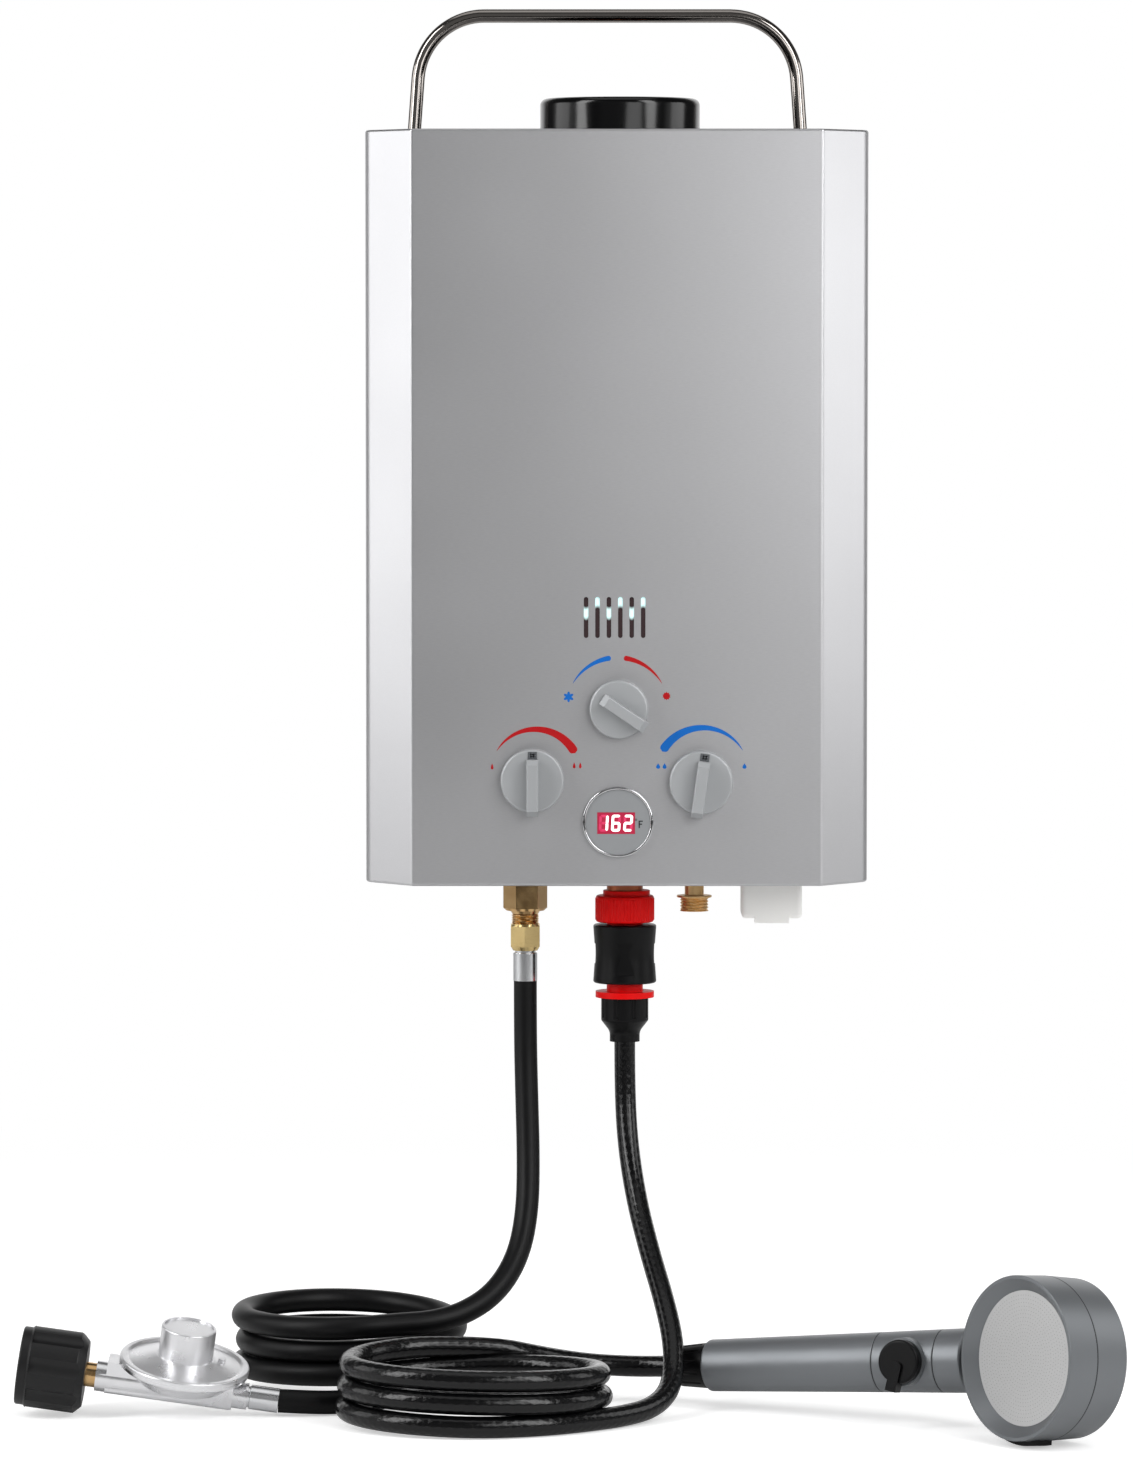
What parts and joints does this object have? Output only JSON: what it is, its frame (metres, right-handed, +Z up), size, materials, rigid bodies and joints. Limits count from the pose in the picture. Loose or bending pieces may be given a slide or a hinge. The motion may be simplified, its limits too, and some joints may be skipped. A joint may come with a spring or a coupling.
{
  "type": "portable propane water heater",
  "caption": "Portable propane water heater with folding carry handle, round flue, front knobs, gas hose with regulator, and shower handset on a hose.",
  "frame": {"origin": "centre of the hanging hole in the rear face of the back plate", "axes": "+X to the right as the user faces the heater, +Y into the wall, +Z up"},
  "size_m": [0.6232, 0.3262, 0.805],
  "materials": {
    "front_cover": "satin",
    "back_plate": "satin",
    "top_plate": "satin",
    "bottom_plate": "satin",
    "cover_screws": "polished",
    "carry_handle": "polished",
    "handle_brackets": "satin",
    "flue_collar": "gloss",
    "exhaust_hood": "satin",
    "heat_exchanger_fins": "satin",
    "combustion_chamber": "satin",
    "chamber_coil": "satin",
    "burner_bars": "satin",
    "burner_frame": "satin",
    "gas_manifold": "cast",
    "gas_valve_body": "cast",
    "solenoid_valve": "satin",
    "water_valve_body": "matte",
    "cold_water_pipe": "satin",
    "hot_water_pipe": "satin",
    "ignition_box": "matte",
    "ignition_electrodes": "glazed",
    "flame_window": "clear",
    "display_bezel": "polished",
    "display_face": "satin",
    "display_board": "gloss",
    "battery_box": "satin",
    "battery_lid": "satin",
    "battery_cells": "satin",
    "gas_inlet_union": "satin",
    "gas_hose_nut": "satin",
    "hose_ferrules": "polished",
    "gas_hose": "matte",
    "gas_hose_coil": "matte",
    "gas_hose_tail": "matte",
    "regulator_body": "cast",
    "regulator_bonnet": "cast",
    "regulator_cap": "satin",
    "inlet_nipple": "satin",
    "cylinder_nut": "matte",
    "tap_adaptor": "gloss",
    "connector_body": "gloss",
    "connector_collar": "satin",
    "shower_hose_nut": "gloss",
    "shower_hose": "gloss",
    "shower_hose_coil": "gloss",
    "shower_hose_tail": "gloss",
    "swivel_nut": "satin",
    "handset_grip": "satin",
    "switch_housing": "satin",
    "pause_switch": "satin",
    "handset_neck": "satin",
    "head_rear_shell": "satin",
    "head_front_ring": "satin",
    "spray_plate": "satin",
    "spray_lever": "satin",
    "cold_inlet_nipple": "satin",
    "gas_knob": "satin",
    "season_knob": "satin",
    "water_knob": "satin"
  },
  "bodies": {
    "heater": {"front_cover": "front_cover", "back_plate": "back_plate", "top_plate": "top_plate", "bottom_plate": "bottom_plate", "cover_screws": "cover_screws", "handle_brackets": "handle_brackets", "flue_collar": "flue_collar", "exhaust_hood": "exhaust_hood", "heat_exchanger_fins": "heat_exchanger_fins", "combustion_chamber": "combustion_chamber", "chamber_coil": "chamber_coil", "burner_bars": "burner_bars", "burner_frame": "burner_frame", "gas_manifold": "gas_manifold", "gas_valve_body": "gas_valve_body", "solenoid_valve": "solenoid_valve", "water_valve_body": "water_valve_body", "cold_water_pipe": "cold_water_pipe", "hot_water_pipe": "hot_water_pipe", "ignition_box": "ignition_box", "ignition_electrodes": "ignition_electrodes", "flame_window": "flame_window", "display_bezel": "display_bezel", "display_face": "display_face", "display_board": "display_board", "battery_box": "battery_box", "battery_cells": "battery_cells", "gas_inlet_union": "gas_inlet_union", "gas_hose_nut": "gas_hose_nut", "hose_ferrules": "hose_ferrules", "gas_hose": "gas_hose", "gas_hose_coil": "gas_hose_coil", "gas_hose_tail": "gas_hose_tail", "regulator_body": "regulator_body", "regulator_bonnet": "regulator_bonnet", "regulator_cap": "regulator_cap", "inlet_nipple": "inlet_nipple", "tap_adaptor": "tap_adaptor", "connector_body": "connector_body", "shower_hose_nut": "shower_hose_nut", "shower_hose": "shower_hose", "shower_hose_coil": "shower_hose_coil", "shower_hose_tail": "shower_hose_tail", "swivel_nut": "swivel_nut", "cold_inlet_nipple": "cold_inlet_nipple"},
    "handle": {"carry_handle": "carry_handle"},
    "gas_control": {"gas_knob": "gas_knob"},
    "season_control": {"season_knob": "season_knob"},
    "water_control": {"water_knob": "water_knob"},
    "release_collar": {"connector_collar": "connector_collar"},
    "battery_door": {"battery_lid": "battery_lid"},
    "hand_nut": {"cylinder_nut": "cylinder_nut"},
    "handset": {"handset_grip": "handset_grip", "switch_housing": "switch_housing", "handset_neck": "handset_neck", "head_rear_shell": "head_rear_shell", "head_front_ring": "head_front_ring", "spray_plate": "spray_plate"},
    "pause_control": {"pause_switch": "pause_switch"},
    "mode_control": {"spray_lever": "spray_lever"}
  },
  "joints": [
    {"name": "handle_fold", "type": "hinge", "parent": "heater", "child": "handle", "pos_m": [-0.005, -0.008, 0.018], "axis": [-1, 0, 0], "range_deg": [0, 90]},
    {"name": "gas_knob_turn", "type": "hinge", "parent": "heater", "child": "gas_control", "pos_m": [-0.0486, -0.12, -0.343], "axis": [0, 1, 0], "range_deg": [-90, 90]},
    {"name": "season_knob_turn", "type": "hinge", "parent": "heater", "child": "season_control", "pos_m": [0.001, -0.12, -0.302], "axis": [0, 1, 0], "range_deg": [0, 112]},
    {"name": "water_knob_turn", "type": "hinge", "parent": "heater", "child": "water_control", "pos_m": [0.0482, -0.12, -0.344], "axis": [0, 1, 0], "range_deg": [-98, 82]},
    {"name": "collar_slide", "type": "slide", "parent": "heater", "child": "release_collar", "axis": [0, 0, -1], "range_m": [0, 0.0047], "stiffness_N_per_m": 2000, "springref_m": -0.002},
    {"name": "battery_lid_swing", "type": "hinge", "parent": "heater", "child": "battery_door", "pos_m": [0.0906, -0.0335, -0.4217], "axis": [1, 0, 0], "range_deg": [0, 100]},
    {"name": "hand_nut_spin", "type": "hinge", "parent": "heater", "child": "hand_nut", "pos_m": [-0.32144, -0.175, -0.67535], "axis": [0.9903, 0, -0.1392], "continuous": true},
    {"name": "handset_swivel", "type": "hinge", "parent": "heater", "child": "handset", "pos_m": [0.0373, -0.1364, -0.6792], "axis": [0.8804, -0.4662, 0.0863], "continuous": true},
    {"name": "pause_switch_turn", "type": "hinge", "parent": "handset", "child": "pause_control", "pos_m": [0.16, -0.22148, -0.66414], "axis": [-0.4738, -0.872, 0.1226], "range_deg": [0, 90]},
    {"name": "spray_mode_turn", "type": "hinge", "parent": "handset", "child": "mode_control", "pos_m": [0.219, -0.29, -0.652], "axis": [-0.7902, -0.6062, 0.09], "range_deg": [-25, 25]}
  ]
}
